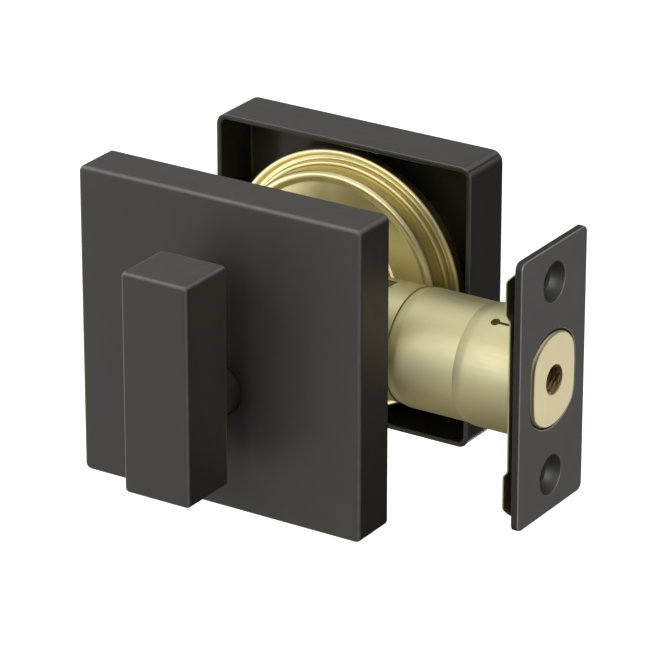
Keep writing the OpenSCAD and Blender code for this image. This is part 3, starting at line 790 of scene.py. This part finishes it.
def make_bolt():
    """Flatted bar with a rounded head, a threaded hole in front, and a bore and a slot behind."""
    head_x, back_x = BOLT[1].x, BOLT[0].x
    edge, chamfer, bore_r = 0.9 * MM, 0.3 * MM, 3.35 * MM
    skin = Skin(along_x())
    outside = [skin.ring(bolt_outline(-chamfer), back_x), skin.ring(bolt_outline(), back_x + chamfer)]
    outside += [skin.ring(bolt_outline(edge * math.cos(a) - edge), head_x - edge + edge * math.sin(a))
                for a in quarter_turn(7)]
    skin.strip(outside)
    hole = skin.strip(thread_rings(skin, head_x))
    skin.cap(hole[-1])
    skin.cap(outside[-1], hole[0])
    bore = skin.strip([skin.ring(circle(bore_r, 64), x) for x in (back_x, ROLLER[1].x)])
    skin.cap(bore[1])
    skin.cap(outside[0], bore[0])
    bolt = skin.piece("bolt_bar")
    room, slot_low, slot_high, overrun = 0.02 * MM, 4.5 * MM, 9.7 * MM, 1.6 * MM
    near_x, far_x = back_x - overrun, TAIL[1].x + room
    near_y, far_y = TAIL[0].y - room, TAIL[1].y + room
    outline = [(near_x, near_y), (far_x, near_y), (far_x, far_y), (near_x, far_y)]
    cut(bolt, prism("slot_cutter", along_z, outline, slot_low, slot_high))
    smooth(bolt.data)
    place(weighted(bolt), "bolt", "bolt_brass", "bolt")


def thread_rings(skin, head_x):
    """Rings of a threaded hole, from its countersunk mouth to its tip."""
    minor_r, pitch, depth = 2.45 * MM, 0.9 * MM, 9 * MM
    per_turn, count = 6, 96
    rows = int(depth / pitch * per_turn)
    first_x, tip_r, tip_x = head_x - 0.5 * MM, 0.3 * MM, head_x - depth - 1.2 * MM
    # (growth of the radius, depth), in millimetres
    mouth = ((0.4, 0.0), (0.25, 0.1), (0.0, 0.4))
    rings = [skin.ring(circle(THREAD_R + grow * MM, count), head_x - deep * MM)
             for grow, deep in mouth]
    for row in range(rows):
        outline = []
        for i in range(count):
            phase = (row / per_turn + i / count) % 1.0
            ridge = 1 - abs(2 * phase - 1)
            r = THREAD_R - (THREAD_R - minor_r) * ridge
            outline.append((r * math.cos(TURN * i / count), r * math.sin(TURN * i / count)))
        rings.append(skin.ring(outline, first_x - depth * row / rows))
    rings.append(skin.ring(circle(tip_r, count), tip_x))
    return rings


# ---- stage ----

def area_light(name, direction, distance, size, power, target=(0, 0, 0)):
    """A soft box that looks at the target from a direction. Power is in watts."""
    data = bpy.data.lights.new(name, "AREA")
    data.shape = "RECTANGLE"
    data.size, data.size_y = size
    data.energy = power
    light = bpy.data.objects.new(name, data)
    bpy.context.scene.collection.objects.link(light)
    away = Vector(direction).normalized()
    light.location = Vector(target) + away * distance
    light.rotation_mode = "QUATERNION"
    light.rotation_quaternion = away.to_track_quat("Z", "Y")
    light.visible_camera = False
    return light


def lit_only(light, *names):
    """Lets a light reach only the named pieces, and lets only them shade it."""
    linked = bpy.data.collections.new(light.name + "_receivers")
    for name in names:
        linked.objects.link(bpy.data.objects[name])
    light.light_linking.receiver_collection = linked
    light.light_linking.blocker_collection = linked


def make_world():
    """Studio light from all round: bright in front on the left, dim on the right, warm below."""
    world = bpy.data.worlds.new("studio")
    bpy.context.scene.world = world
    world.use_nodes = True
    nodes = Nodes(world, "Generated")
    height = nodes.spread(nodes.dot((0, 0, 1)), 0.0, 1.0, -1, 1)
    front = nodes.ramp(height, (0.0, (0.36, 0.31, 0.21)), (0.3, (0.58, 0.56, 0.50)),
                       (0.6, (0.80, 0.80, 0.80)), (0.72, (0.72, 0.72, 0.70)),
                       (0.93, (0.68, 0.66, 0.56)))
    away = nodes.ramp(height, (0.0, (0.09, 0.08, 0.06)), (0.45, (0.03, 0.03, 0.03)),
                      (0.7, (0.2, 0.2, 0.2)), (0.95, (0.62, 0.61, 0.55)))
    turned = nodes.spread(nodes.dot((-0.8, -0.6, 0)), 0.0, 1.0, -0.2, 0.6)
    background = world.node_tree.nodes["Background"]
    nodes.link(nodes.blend(turned, away, front), background.inputs["Color"])


def make_floor():
    """Plain pale floor below the lock, which lights and mirrors nothing."""
    side, corner, drop = 8, 1, 60 * MM
    skin = Skin(along_z)
    ring = skin.ring(round_rect(side, side, corner, 8, 4), ROSE_IN[0].z - drop)
    skin.bm.faces.new(ring)
    floor = skin.piece("floor")
    paint, pale_paint = (0.9, 0.9, 0.9), (0.92, 0.92, 0.92)
    material, shader = new_material("floor_paint", paint, 0.0, 0.8,
                                    Emission_Color=(1, 1, 1, 1), Emission_Strength=0.7)
    nodes = Nodes(material)
    nodes.link(nodes.blend(nodes.noise(3), paint, pale_paint), shader.inputs["Base Color"])
    floor.data.materials.append(material)
    floor.visible_glossy = False
    floor.visible_diffuse = False
    floor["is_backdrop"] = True


def make_lights():
    """A key and a top light for everything, and fills that each reach only the pieces they name."""
    # name, direction, distance in metres, width and height in metres, power in watts, target
    area_light("key", (-0.2, -0.88, 0.6), 1.1, (0.9, 0.9), 2.8)
    area_light("top", (-0.1, 0.1, 1), 0.9, (0.8, 0.8), 1.2)
    latch_end = (FACEPLATE[1].x, 0, 0)
    plate = area_light("plate_fill", (1, -0.2, 0.25), 0.6, (0.3, 0.3), 4.0, latch_end)
    lit_only(plate, "edge_plate")
    head = area_light("bolt_fill", (0.5, 0.77, -0.4), 0.5, (0.6, 0.6), 0.95, latch_end)
    lit_only(head, "bolt_bar")
    tube_middle = ((TUBE[0].x + TUBE[1].x) / 2, 0, 0)
    latch = area_light("latch_fill", (-0.5, -0.84, 0.1), 0.6, (0.7, 0.55), 0.1, tube_middle)
    lit_only(latch, "latch_barrel", "latch_collar", "backing_strip", "case_half_inner",
             "case_half_outer")
    disc_middle = (0, ADAPTER[0].y, ROSE_Z)
    disc = area_light("disc_fill", (-0.5, -0.77, -0.2), 0.6, (0.9, 0.9), 3.4, disc_middle)
    lit_only(disc, "stepped_adapter")
    key_face = (0, CYLINDER[1].y, ROSE_Z)
    street = area_light("street_fill", (0.25, 1, -0.1), 0.55, (1.2, 1.2), 4.2, key_face)
    lit_only(street, "cylinder_guard", "cylinder_housing", "key_plug")
    back = area_light("rose_back_fill", (-0.35, 1, -0.55), 0.6, (0.5, 0.4), 3.0, key_face)
    lit_only(back, "exterior_rose")


def make_camera():
    """Looks at the lock from the right of its inner face and above, with a long lens."""
    azimuth, elevation = math.radians(32.7), math.radians(23)
    distance, pixels_per_mm, image_size = 0.9, 4.97, 651
    aim = Vector((16, 0, 0)) * MM
    # The camera's own shift, which moves the lock to the right and down in the picture
    aside, raised = 7.4 * MM, 1.2 * MM
    data = bpy.data.cameras.new("camera")
    data.sensor_width = 36
    data.lens = pixels_per_mm / MM * distance * data.sensor_width / image_size
    camera = bpy.data.objects.new("camera", data)
    bpy.context.scene.collection.objects.link(camera)
    back = Vector((math.sin(azimuth) * math.cos(elevation),
                   -math.cos(azimuth) * math.cos(elevation), math.sin(elevation)))
    right = Vector((math.cos(azimuth), math.sin(azimuth), 0))
    up = back.cross(right)
    camera.location = aim + back * distance - right * aside + up * raised
    camera.rotation_mode = "QUATERNION"
    camera.rotation_quaternion = back.to_track_quat("Z", "Y")
    data.clip_start, data.clip_end = 0.01, 50
    bpy.context.scene.camera = camera


dress_cad_nodes()
make_roses()
make_bar()
make_adapter()
make_collar(make_tube())
make_faceplate()
make_backing_plate()
make_bolt()
make_world()
make_floor()
make_lights()
make_camera()
bpy.context.scene.view_settings.view_transform = "Standard"

[[list(corner) for corner in box] for box in (cad_box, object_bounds())]
